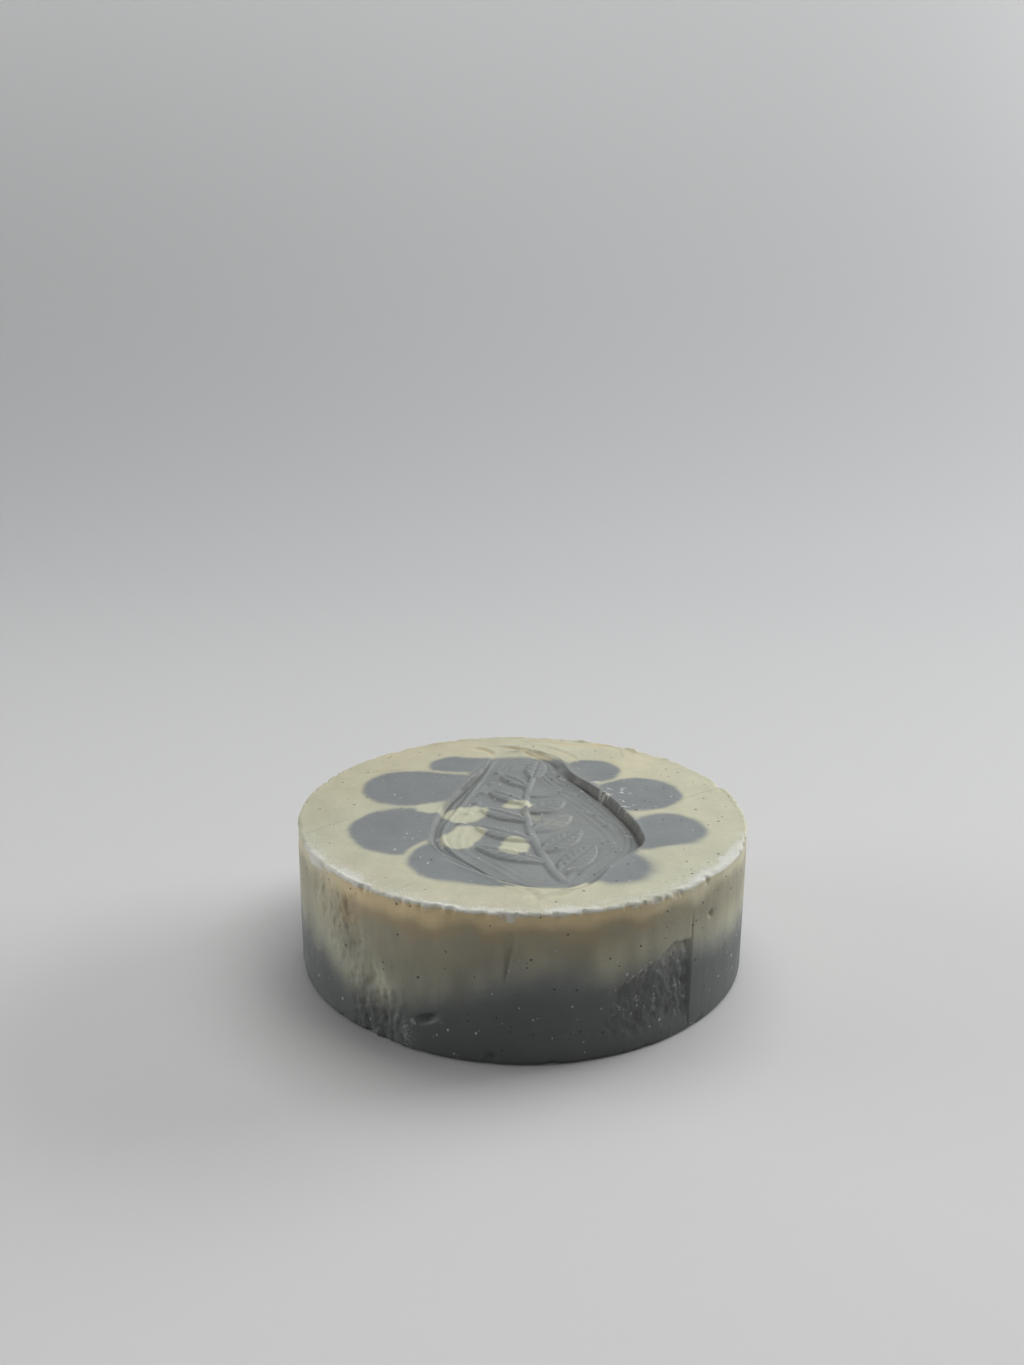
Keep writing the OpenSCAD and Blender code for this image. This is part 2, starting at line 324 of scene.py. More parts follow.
def top_height(x, y):
    """Height of the top face, with the stamp, the lip and the marks of the wire."""
    r = np.hypot(x, y)
    a = around(x, y)
    z = 0 * x
    inward = wall_radius(a, z + PUCK_H) - r
    front = smooth(-172, -150, a) * smooth(-5, -30, a)
    grit = lumps(x, y, z, 0.9, 3, 9.0)
    wave = lumps(x, y, z, 5.0, 2, 2.0)
    swell = lumps(x, y, z, 11.0, 2, 21.0)
    lip = LIP_H * (0.35 + 0.45 * swell + 0.2 * wave + 0.5 * grit)
    lip_shape = smooth(LIP_W * (1.3 + 0.5 * wave), 0.2, inward)
    height = PUCK_H + np.clip(lip, 0, LIP_H * 0.95) * lip_shape
    height += 0.05 * front * grit * smooth(1.8, 0.6, inward)
    height += 0.035 * lumps(x, y, z, 7.0, 3, 6.0) + 0.012 * lumps(x, y * 0.25, z, 0.8, 2, 1.0)
    for at, high, width in BURRS:
        burr = peak(a - at, width) * smooth(1.6, 0.3, inward)
        height += BURR_H * high * burr * np.clip(0.6 + grit, 0, 1.6)
    notch = peak(a - NOTCH_AT, 2.2) * smooth(1.1, 0.1, inward)
    height -= NOTCH_DEEP * notch
    # the soap rolled up a little along the pressed edge
    edge = stamp_edge(x, y)
    height += 0.08 * smooth(0.9, 0.0, edge) * smooth(-0.3, 0.1, edge) * (1 + wave)
    over = np.clip(1 - inward / RIM_ROUND, 0, 1)
    height -= (RIM_DROP + 0.30 * grit) * (1 - np.sqrt(1 - over ** 2))
    return np.minimum(height - pressed(x, y), LIP_LIMIT)


def torn_left(a, z):
    """Where the tube tore the wall on the left, in a band that slants down towards the front."""
    middle = -141 + 17 * smooth(21, 2, z)
    return smooth(12, 5, np.abs(a - middle)) * smooth(24.3, 21.5, z)


def left_ridge(a, x, y, z):
    """Upright ridges and cracks that lean a little towards the front as they go down."""
    lean = (z + 0.35 * np.radians(a + 135) * PUCK_R) * 0.33
    return lumps(x, y, lean, 3.1, 4, 8.0)


def jagged(x, y, z):
    """How far the upper edge of the flaked patch wanders up and down."""
    return 1.1 * lumps(x, y, z, 2.6, 4, 36.0)


# The direction where the tube's seam stopped the tear on the right
SEAM_AT = -47.2


def patch_top(a):
    """Height of the flaked patch's upper edge, which rises to the right."""
    return 11.3 + 4.8 * smooth(-70, -50, a)


def torn_right(a, z, ragged):
    """The flaked patch on the right, with a ragged upper edge and a straight right side."""
    top = patch_top(a) + ragged
    return (smooth(-76, -64, a + 2 * ragged) * smooth(SEAM_AT, SEAM_AT - 0.5, a)
            * smooth(0.5, -0.1, z - top) * smooth(1.5, 5, z))


# The slanting dent and the upright scar, and pits: direction, height, depth and size
DENT_AT, DENT_Z, DENT_DEEP = -112, 6.2, 1.0
SCAR_AT, SCAR_Z, SCAR_DEEP = -93.5, 18, 0.45
PITS = [(-97, 1.2, 0.5, 0.7), (-40, 18.5, 0.5, 0.5), (-128, 9, 0.4, 0.8), (64, 9, 0.6, 1.2),
        (150, 16, 0.5, 0.9), (115, 6, 0.6, 1.4)]
DEEPEST_CUT = 2.2


def wall_radius(a, z):
    """Radius of the wall at a direction in degrees and a height."""
    x, y = PUCK_R * np.cos(np.radians(a)), PUCK_R * np.sin(np.radians(a))
    cut = 0.10 * (1 + lumps(x, y, z * 0.5, 14.0, 2, 3.0))
    streak = lumps(x, y, z * 0.12, 1.3, 3, 5.0)
    cut += 0.02 * (1 + streak)
    # upright ridges where it tore on the left, and flakes on the right
    ridge = left_ridge(a, x, y, z)
    grit = lumps(x, y, z, 0.9, 3, 1.0)
    cut += torn_left(a, z) * (0.48 * np.clip(ridge + 0.2, 0, 1) + 0.16 * grit)
    ragged = lumps(x, y, z, 1.1, 4, 37.0)
    flake = lumps(x, y, z, 2.6, 4, 6.5)
    patch = torn_right(a, z, jagged(x, y, z))
    cut += patch * (0.30 + 0.4 * np.abs(flake) + 0.25 * np.abs(ragged))
    cut += 0.16 * peak(a - SEAM_AT, 0.30) * smooth(0.5, 2, z) * smooth(21, 18, z)
    # crumbs lost from the rim
    bite = smooth(0.15, 0.7, lumps(x, y, 0.4 * z, 1.5, 3, 55.0))
    cut += 0.35 * bite * smooth(23.6, 24.6, z)
    # a slanting dent, a scar, and pits
    arc, up = np.radians(a - DENT_AT) * PUCK_R, z - DENT_Z
    u, v = arc * 0.92 + up * 0.4, up * 0.92 - arc * 0.4
    cut += DENT_DEEP * np.exp(-(u / 1.5) ** 2 - (v / 0.62) ** 4)
    arc = np.radians(a - SCAR_AT) * PUCK_R - (z - SCAR_Z) * 0.13
    wide = 0.28 + 0.5 * smooth(16.5, 21, z)
    cut += SCAR_DEEP * peak(arc, wide) * smooth(13.5, 15.5, z) * smooth(23, 20.5, z)
    for at, level, deep, size in PITS:
        arc = np.radians(a - at) * PUCK_R
        cut += deep * np.exp(-(arc ** 2 + (z - level) ** 2) / size ** 2)
    # torn and streaked places on the far side
    far = smooth(20, 40, a) * smooth(95, 70, a) * smooth(14, 8, z + 2 * ridge)
    cut += far * (0.12 + 0.2 * np.abs(flake))
    far = smooth(120, 135, a) * smooth(172, 160, a)
    cut += far * 0.18 * np.clip(ridge, 0, 1)
    # nicks along the foot
    foot = smooth(2.2, 0.2, z)
    nick = np.clip(lumps(x, y, z, 3.0, 3, 7.5) - 0.35, 0, 1)
    hard = 0.5 + 1.4 * smooth(-150, -143, a) * smooth(-118, -130, a)
    cut += foot * nick * hard
    # the frosted lip stands out a little over the wall
    under = smooth(25.0, 23.9, z) * smooth(20.5, 23.3, z)
    cut += 0.10 * under * (1 + lumps(x, y, 0 * z, 6.0, 2, 9.5))
    cut -= 0.05 * smooth(24.1, 24.6, z) * ragged
    return PUCK_R - np.clip(cut, 0, DEEPEST_CUT)


def disc_grid(cells):
    """A square grid of points pushed out to a disc of radius 1, with its quads and its rim."""
    t = np.linspace(-1, 1, cells + 1)
    a, b = np.meshgrid(t, t, indexing="ij")
    wide = np.abs(a) >= np.abs(b)
    r = np.where(wide, a, b)
    with np.errstate(divide="ignore", invalid="ignore"):
        turn = np.where(wide, math.pi / 4 * b / a, math.pi / 2 - math.pi / 4 * a / b)
    turn = np.nan_to_num(turn)
    x, y = (r * np.cos(turn)).ravel(), (r * np.sin(turn)).ravel()
    index = np.arange((cells + 1) ** 2).reshape(cells + 1, cells + 1)
    quads = np.stack([index[:-1, :-1], index[1:, :-1], index[1:, 1:], index[:-1, 1:]], -1)
    rim = np.concatenate([index[-1, :-1], index[::-1, -1][:-1],
                          index[0, ::-1][:-1], index[:, 0][:-1]])
    return x, y, quads.reshape(-1, 4), rim


TOP_FACE, WALL_FACE, BASE_FACE = 1, 2, 3


def blank_mesh():
    """The whole puck as one closed mesh, whose faces say whether they are top, wall or base."""
    x, y, top_quads, rim = disc_grid(TOP_CELLS)
    r = np.hypot(x, y)
    turn = np.arctan2(y, x)
    # the points stand closer together near the rim
    share = r * (1 + 0.35 * r ** 6 * (1 - r))
    # the rim follows the wall's own wander
    rim_r = wall_radius(np.degrees(turn), np.full_like(r, PUCK_H))
    full = share * (PUCK_R + (rim_r - PUCK_R) * share ** 8)
    tx, ty = full * np.cos(turn), full * np.sin(turn)
    points = [np.stack([tx, ty, top_height(tx, ty)], -1)]
    faces = [top_quads]
    kinds = [np.full(len(top_quads), TOP_FACE)]
    count = len(tx)
    ring = np.degrees(turn[rim])
    levels = np.append(np.arange(PUCK_H - FIRST_RING, FOOT_R, -WALL_STEP), FOOT_R)
    foot = FOOT_R * (1 - np.sin(np.radians(np.arange(FOOT_STEP, 91, FOOT_STEP))))
    above = rim
    for level in np.append(levels, foot):
        z = np.full(len(ring), level)
        radius = wall_radius(ring, z)
        if level < FOOT_R:
            radius = radius - FOOT_R + math.sqrt(FOOT_R ** 2 - (FOOT_R - level) ** 2)
        points.append(np.stack([radius * np.cos(np.radians(ring)),
                                radius * np.sin(np.radians(ring)), z], -1))
        below = np.arange(len(ring)) + count
        count += len(ring)
        faces.append(np.stack([above, below, np.roll(below, -1), np.roll(above, -1)], -1))
        kinds.append(np.full(len(ring), WALL_FACE))
        above = below
    bx, by, base_quads, base_rim = disc_grid(BASE_CELLS)
    br = np.hypot(bx, by)
    bturn = np.arctan2(by, bx)
    wander = wall_radius(np.degrees(bturn), 0 * br)
    base_r = br * (PUCK_R - FOOT_R - 0.5 + (wander - PUCK_R) * br ** 8)
    bx, by = base_r * np.cos(bturn), base_r * np.sin(bturn)
    # the base is slightly hollow, and scraped where it slid off the board
    hollow = 0.12 * smooth(0.2, 2.5, PUCK_R - FOOT_R - 0.6 - base_r)
    hollow = hollow * (1 + lumps(bx, by, 0 * bx, 4.0, 4, 3.3))
    scrape = 0.05 * np.clip(lumps(bx * 0.2, by, 0 * bx, 1.2, 2, 1.3), 0, 1)
    scrape = scrape * smooth(0, 2, PUCK_R - 2 - base_r)
    points.append(np.stack([bx, by, np.clip(hollow + scrape, 0, 1)], -1))
    faces.append(base_quads[:, ::-1] + count)
    kinds.append(np.full(len(base_quads), BASE_FACE))
    base_rim = base_rim + count
    nxt = np.roll(base_rim, -1)
    even, odd, after = above[0::2], above[1::2], np.roll(above[0::2], -1)
    slivers = np.concatenate([np.stack([even, base_rim, odd], -1),
                              np.stack([base_rim, nxt, odd], -1),
                              np.stack([odd, nxt, after], -1)])
    all_points = np.concatenate(points)
    quads = np.concatenate(faces)
    mesh = bpy.data.meshes.new("blank")
    mesh.vertices.add(len(all_points))
    mesh.vertices.foreach_set("co", all_points.astype(np.float32).ravel())
    corners = np.concatenate([quads.ravel(), slivers.ravel()])
    mesh.loops.add(len(corners))
    mesh.loops.foreach_set("vertex_index", corners.astype(np.int32))
    starts = np.concatenate([np.arange(len(quads)) * 4,
                             len(quads) * 4 + np.arange(len(slivers)) * 3])
    mesh.polygons.add(len(starts))
    mesh.polygons.foreach_set("loop_start", starts.astype(np.int32))
    kind = np.concatenate(kinds + [np.full(len(slivers), BASE_FACE)])
    mesh.attributes.new("kind", "INT", "FACE").data.foreach_set("value", kind.astype(np.int32))
    mesh.update(calc_edges=True)
    mesh.validate()
    return mesh


def read_all(things, label, width=1, kind=np.float32):
    """That value of every point, face or corner of a mesh, as one array."""
    values = np.zeros(len(things) * width, kind)
    things.foreach_get(label, values)
    return values.reshape(-1, width) if width > 1 else values


blank = blank_mesh()
blank_points = read_all(blank.vertices, "co", 3)
blank_normals = read_all(blank.vertex_normals, "vector", 3)
blank_tree = kdtree.KDTree(len(blank_points))
for i, point in enumerate(blank_points):
    blank_tree.insert(point, i)
blank_tree.balance()

# ---- Outlines of the swirl ----
# Thin batter was poured in turn at the same spots of the tube, so that each pour pushed the
# last one outward. The top shows grey petals round a grey core, and the underside the reverse.

VEIN_W = 1.0
CORE_W = 36.0
CORE_L = 56.0
CORE_END_R = 11.0
CORE_TOP_R = 10.5
PETAL_R = 9.4
ROOT_DEPTH = 4.0
STAMP_GAP = 0.6
ISLAND_R = 3.4
HEART_D = 24.0
EYE_D = 6.0
UNDER_PETALS = 8
UNDER_RIM = 8.0
UNDER_TIP_R = 7.0
UNDER_ROOT_R = 4.0

# Each petal's tip, the tip's radius, the place where its root meets the core's edge, and the
# root's radius. Places are shares of the core's half width and half length, radii of PETAL_R.
PETALS = [
    ((-1.22, 0.38), 0.88, (-0.75, 0.54), 0.52),
    ((-0.79, 0.78), 0.5, (-0.5, 0.92), 0.42),
    ((0.61, 0.72), 0.58, (0.43, 0.74), 0.54),
    ((1.05, 0.32), 0.8, (0.86, 0.25), 0.54),
    ((1.24, -0.23), 0.68, (1.07, -0.43), 0.54),
    ((0.68, -0.75), 0.66, (0.6, -0.8), 0.54),
    ((-0.69, -0.69), 0.8, (-0.34, -0.93), 0.68),
    ((-1.16, -0.29), 1, (-1.06, -0.05), 0.6),
]
# The petals beside the core's two ends, which keep clear of it
END_PETALS = (1, 2, 5, 6)
# The two ends of each island in the same way, with their radii as shares of ISLAND_R
ISLANDS = [
    ((-0.67, 0), 1, (-0.56, 0.057), 0.765),
    ((-0.69, -0.39), 0.85, (-0.6, -0.26), 0.8),
    ((-0.189, -0.5), 0.618, (-0.156, -0.407), 0.647),
    ((-0.2, 0.171), 0.441, (-0.067, 0.186), 0.382),
]


def in_core(share):
    return STAMP_X + share[0] * CORE_W / 2, STAMP_Y + share[1] * CORE_L / 2


def petal_ends(petal):
    """Middle and radius of a petal's tip and of its root, which lies inside the core's edge."""
    x, y = in_core(petal[2])
    away = math.hypot(x - STAMP_X, y - STAMP_Y)
    root = (x - ROOT_DEPTH * (x - STAMP_X) / away, y - ROOT_DEPTH * (y - STAMP_Y) / away)
    return in_core(petal[0]), petal[1] * PETAL_R, root, petal[3] * PETAL_R


def island_ends(island):
    return in_core(island[0]), island[1] * ISLAND_R, in_core(island[2]), island[3] * ISLAND_R


def toward(a, distance):
    return distance * math.cos(math.radians(a)), distance * math.sin(math.radians(a))


def under_petal_ends(i):
    a = 360 / UNDER_PETALS * i + 11
    return (toward(a, PUCK_R - UNDER_RIM - UNDER_TIP_R), UNDER_TIP_R,
            toward(a + 8, HEART_D / 2 - UNDER_ROOT_R), UNDER_ROOT_R)


def core_edge(x, y):
    return egg_edge(*in_stamp(x, y), CORE_W, CORE_L, CORE_END_R, CORE_TOP_R)


def cutter(name, mesh):
    obj = bpy.data.objects.new(name, mesh)
    bpy.context.scene.collection.objects.link(obj)
    return obj


def prism(name, outline, low, high):
    """A closed upright block with that outline, for cutting the blank."""
    n = len(outline)
    points = [(x, y, low) for x, y in outline] + [(x, y, high) for x, y in outline]
    faces = [tuple(range(n))[::-1], tuple(range(n, 2 * n))]
    faces += [(i, (i + 1) % n, n + (i + 1) % n, n + i) for i in range(n)]
    mesh = bpy.data.meshes.new(name)
    mesh.from_pydata(points, [], faces)
    mesh.attributes.new("kind", "INT", "FACE")
    return cutter(name, mesh)


def arc(x, y, r, start, end, steps):
    return [(x + r * math.cos(t), y + r * math.sin(t)) for t in np.linspace(start, end, steps)]


def circle_outline(r, steps=144):
    return arc(0, 0, r, 0, 2 * math.pi, steps + 1)[:-1]


def pear_outline(p, p_r, q, q_r, grow=0.0):
    """Two discs and the strip between their outer tangents, counter-clockwise."""
    gap = math.hypot(q[0] - p[0], q[1] - p[1])
    heading = math.atan2(q[1] - p[1], q[0] - p[0])
    turn = math.acos((p_r - q_r) / gap)
    return (arc(*p, p_r + grow, heading + turn, heading - turn + 2 * math.pi, 72)
            + arc(*q, q_r + grow, heading - turn, heading + turn, 72))


def egg_outline(w, l, end_r, top_r, grow=0.0):
    """The points of an oval that narrows upward, counter-clockwise, in the stamp's place."""
    top_y, end_y = l / 2 - top_r, end_r - l / 2
    up, down = math.pi / 2, 3 * math.pi / 2
    above = math.acos((w / 2 - top_r) / (top_y + STAMP_BELLY))
    below = math.acos((w / 2 - end_r) / (-STAMP_BELLY - end_y))
    points = (arc(0, top_y, top_r + grow, up - above, up + above, 48)
              + arc(0, -STAMP_BELLY, w / 2 + grow, up + above, down - below, 48)
              + arc(0, end_y, end_r + grow, down - below, down + below, 48)
              + arc(0, -STAMP_BELLY, w / 2 + grow, down + below, up - above + 2 * math.pi, 48))
    c, s = math.cos(STAMP_TURN), math.sin(STAMP_TURN)
    return [(STAMP_X + x * c - y * s, STAMP_Y + x * s + y * c) for x, y in points]


def cut(name, start, keep=(), remove=()):
    """The mesh of start inside every block of keep and outside every block of remove."""
    obj = cutter(name, start)
    for blocks, operation in ((keep, "INTERSECT"), (remove, "DIFFERENCE")):
        for block in blocks:
            modifier = obj.modifiers.new(operation, "BOOLEAN")
            modifier.operation = operation
            modifier.solver = "MANIFOLD"
            modifier.object = block
    bpy.context.view_layer.update()
    made = obj.evaluated_get(bpy.context.evaluated_depsgraph_get())
    mesh = bpy.data.meshes.new_from_object(made)
    bpy.data.objects.remove(obj)
    return mesh


ABOVE, BELOW = PUCK_H + 5, -5.0
CORE_EGG = (CORE_W, CORE_L, CORE_END_R, CORE_TOP_R)
STAMP_EGG = (STAMP_W, STAMP_L, STAMP_END_R, STAMP_TOP_R)
upper_tier = prism("upper_tier", circle_outline(PUCK_R + 5, 48), POUR_Z, ABOVE)
lower_tier = prism("lower_tier", circle_outline(PUCK_R + 5, 48), BELOW, POUR_Z)
core_block = prism("core_block", egg_outline(*CORE_EGG), POUR_Z - 1, ABOVE)
core_gap = prism("core_gap", egg_outline(*CORE_EGG, STAMP_GAP), POUR_Z - 3, ABOVE + 2)
stamp_gap = prism("stamp_gap", egg_outline(*STAMP_EGG, STAMP_GAP), POUR_Z - 2, ABOVE + 1)
heart_block = prism("heart_block", circle_outline(HEART_D / 2), BELOW, POUR_Z + 1)
eye_block = prism("eye_block", circle_outline(EYE_D / 2, 72), BELOW - 1, POUR_Z + 2)


def petal_blocks(name, ends, low, high, stamp=(), core=()):
    """A block for each petal, which gives way to the petal before it and to the stamp."""
    plain = [prism(f"{name}_{i}_whole", pear_outline(*e), low, high) for i, e in enumerate(ends)]
    grown = [prism(f"{name}_{i}_grown", pear_outline(*e, VEIN_W), low - 1, high + 1)
             for i, e in enumerate(ends)]
    blocks = []
    for i, block in enumerate(plain):
        away = list(stamp) + (list(core) if i in END_PETALS else [])
        if i > 0:
            away.append(grown[i - 1])
        if i == len(ends) - 1:
            away.append(grown[0])
        blocks.append(cutter(f"{name}_{i}_block", cut(f"{name}_{i}_cut", block.data, (), away)))
    return blocks, plain + grown


petal_list = [petal_ends(p) for p in PETALS]
petal_block, spare_a = petal_blocks("petal", petal_list, POUR_Z - 1, ABOVE,
                                    [stamp_gap], [core_gap])
under_list = [under_petal_ends(i) for i in range(UNDER_PETALS)]
under_block, spare_b = petal_blocks("under", under_list, BELOW, POUR_Z + 1)
island_list = [island_ends(i) for i in ISLANDS]
island_block = [prism(f"island_{i}_block", pear_outline(*e), POUR_Z - 2, ABOVE + 1)
                for i, e in enumerate(island_list)]

# ---- The soap's colour ----
# Cream soap is coloured with clay and grey soap with charcoal. Where they meet they have
# bled into each other, the cut rim is frosted with soda ash, and the wall has yellowed.
# Painted shade in hollows, down the walls and over the left of the top, painted highlights
# on a few raised edges, and a painted glow under the rim are put into these colours as well.

# Fine cracks in the cream, and streaks that the die's edge drew in it, from end to end
CRACKS = [((-36, -10), (-29, -4)), ((19, 35), (19, 26)), ((27, 5), (36, 12)),
          ((-30, 17), (-20, 20)), ((-20, -33), (-16, -27))]
STREAKS = [((5, 34.5), (20, 32.5))]
# How high the grey has risen in the wall, at a few directions round it
GREY_RISE = [(-180, 10), (-160, 11), (-146, 10), (-135, 6.7), (-125, 7.0), (-112, 9.7),
             (-100, 13.5), (-90, 15.7), (-80, 15.3), (-70, 12.8), (-60, 15.3), (-48, 15.3),
             (-40, 13.6), (-28, 12), (0, 11), (60, 11.5), (110, 13), (150, 11), (180, 10)]
# The petal whose soap bled furthest into the cream, and how far for its kind
BLED_PETAL, BLED = 5, 2.2
# Where cream was smeared over the grey, and where the grey is hazy
SMEAR_AT, HAZE_AT = (-15.4, 0.8), (3.5, -1)
# Where ash ran down over the rim, in a thin drip and in a broad one
DRIP_AT, BROAD_DRIP_AT = -93, -150
# A spot on the left of the wall that turned brown: its direction and height
SPOT_AT, SPOT_Z = -135, 19.0


def along_line(x, y, line, width, wander):
    """1 along a thin line that fades out at its ends, and 0 away from it."""
    (ax, ay), (bx, by) = line
    length = math.hypot(bx - ax, by - ay)
    ex, ey = (bx - ax) / length, (by - ay) / length
    along = (x - ax) * ex + (y - ay) * ey
    across = (y - ay) * ex - (x - ax) * ey + wander * lumps(x, y, 0 * x, 5.0, 2, 31.0)
    return (peak(across, width) * smooth(-1, 1.5, along)
            * smooth(length + 1, length - 2.5, along))


def veined(x, y, petals):
    """Distance from each petal's edge, with a vein between it and the petals poured before."""
    whole = [pear_edge(x, y, *ends) for ends in petals]
    for i, edge in enumerate(whole):
        if i > 0:
            edge = np.maximum(edge, VEIN_W - whole[i - 1])
        if i == len(whole) - 1:
            edge = np.maximum(edge, VEIN_W - whole[0])
        yield edge


def top_tones(x, y):
    """Shares of grey, ash, yellowing and shade on the top face."""
    z = 0 * x
    wx = x + 0.3 * lumps(x, y, z, 2.6, 3, 11.0)
    wy = y + 0.3 * lumps(x, y, z, 2.6, 3, 13.0)
    soft = np.maximum(0.85 + 0.35 * lumps(x, y, z, 8.0, 2, 5.5), 0.35)
    grey = smooth(soft, -soft, core_edge(wx, wy))
    for i, edge in enumerate(veined(wx, wy, petal_list)):
        blur = soft * (1.0 + (BLED if i == BLED_PETAL else 0.3) * smooth(-3, 2, edge))
        grey = np.maximum(grey, smooth(blur, -blur, edge))
    for ends in island_list:
        edge = pear_edge(wx, wy, *ends) + 0.25 * lumps(x, y, z, 1.5, 2, 12.0)
        grey = grey * (1 - 0.92 * smooth(0.55, -0.55, edge))
    smear = np.hypot((x - SMEAR_AT[0]) / 1.7, (y - SMEAR_AT[1]) / 1.5)
    smear = smear + 0.25 * lumps(x, y, z, 1.5, 2, 12.0)
    grey = grey * (1 - 0.9 * smooth(2.0, 1.0, smear))
    haze = peak(x - HAZE_AT[0], 5.0) * peak(y - HAZE_AT[1], 3.4)
    haze = haze * np.clip(0.45 + 0.8 * lumps(x, y * 1.6, z, 3.0, 3, 17.0), 0, 1)
    grey = grey * (1 - 0.6 * haze)
    u, v = in_stamp(x, y)
    grey = grey * (1 - 0.13 * smooth(0.5, -0.5, core_edge(x, y)))
    drawn = drag_marks(x, y)
    grey = grey * (1 - 0.8 * smooth(-22, -28, v) * smooth(-0.03, -0.09, drawn))
    grey = np.maximum(grey, 0.85 * smooth(0.14, 0.34, drawn) * smooth(-24, -28, v))
    inward = PUCK_R - np.hypot(x, y)
    a = around(x, y)
    front = 0.12 + 0.88 * smooth(-178, -155, a) * smooth(0, -30, a)
    ragged = lumps(x, y, z, 1.3, 4, 19.0)
    wide = lumps(x, y, z, 6.0, 2, 20.0)
    broad = lumps(x, y, z, 9.0, 2, 22.0)
    band = np.maximum(3.2 + 1.4 * wide + 0.8 * broad, 1.2)
    ash = smooth(band, 0.2, inward + 0.9 * ragged) * front
    ash = ash * np.clip(0.85 + 0.25 * wide + 0.2 * broad, 0.5, 1)
    ash = np.maximum(ash, 0.45 * smooth(6.5, 0.8, inward + 1.3 * ragged) * front)
    edge = stamp_edge(x, y)
    beside = smooth(3.0, 0.4, np.abs(edge - 1.4)) * smooth(9, 13, u)
    beside = beside * smooth(-8, 2, v) * smooth(20, 12, v)
    crumbs = smooth(0.25, 0.6, lumps(x, y, z, 0.8, 3, 23.0)) * np.maximum(
        beside, smooth(6, 1, np.hypot(x - 16.5, y - 8.5)))
    ash = np.maximum(ash, 0.7 * crumbs)
    dusty = smooth(0.35, 0.7, lumps(x, y, z, 0.7, 2, 24.0))
    dusty = dusty * smooth(-0.4, -1.2, edge) * smooth(-3.5, -2, edge)
    ash = np.maximum(ash, 0.5 * dusty * stamp_side(u, v))
    yellow = 0.02 + 0.12 * lumps(x, y, z, 11.0, 2, 29.0) + 0.14 * smooth(-5, 30, y)
    yellow = yellow + 0.08 * smooth(5, -30, x)
    yellow = yellow + 2.4 * np.clip(drawn, 0, 1) * smooth(0, 10, v)
    for line in STREAKS:
        yellow = yellow + 0.6 * along_line(x, y, line, 0.5, 1.5)
    shade = np.zeros_like(x)
    for line in CRACKS + STREAKS:
        shade = np.maximum(shade, 0.30 * along_line(x, y, line, 0.2, 0.5))
    # painted shade down the steep, torn wall of the stamp, where the die cut deepest, broken up
    # by paler crumbs
    torn = smooth(0.35, 0.0, edge) * smooth(-1.15, -0.5, edge) * stamp_side(u, v)
    crumbly = lumps(x, y, 3 * edge, 0.8, 3, 25.0)
    torn_shade = torn * np.clip(1.0 + 0.5 * crumbly, 0, 1)
    # painted shade in the hollows of the carved relief, wherever a point lies lower than the
    # relief round it
    inside = edge < 0
    ui, vi = u[inside], v[inside]
    sides = ((0.4, 0), (-0.4, 0), (0, 0.4), (0, -0.4))
    around_it = sum(sprig_height(ui + du, vi + dv) for du, dv in sides)
    hollow = np.zeros_like(x)
    hollow[inside] = around_it / 4 - sprig_height(ui, vi)
    shade = np.maximum(shade, 0.42 * smooth(0.02, 0.25, hollow))
    # painted shade along the foot of the stamp's wall, in the groove that the die's edge dug
    foot = smooth(0.2, -0.2, edge) * smooth(-0.9, -0.3, edge)
    shade = np.maximum(shade, 0.60 * foot * np.clip(0.6 + wide, 0, 1))
    shade = np.maximum(shade, 1.3 * np.clip(drawn - 0.1, 0, 1))
    # painted shade over the whole top, darker towards its left and back left
    shade = np.maximum(0.75 * shade, torn_shade) + 0.15 * smooth(0, -35, x - 0.4 * y)
    return grey, np.clip(ash, 0, 1), np.clip(yellow, 0, 1), np.clip(shade, 0, 1)


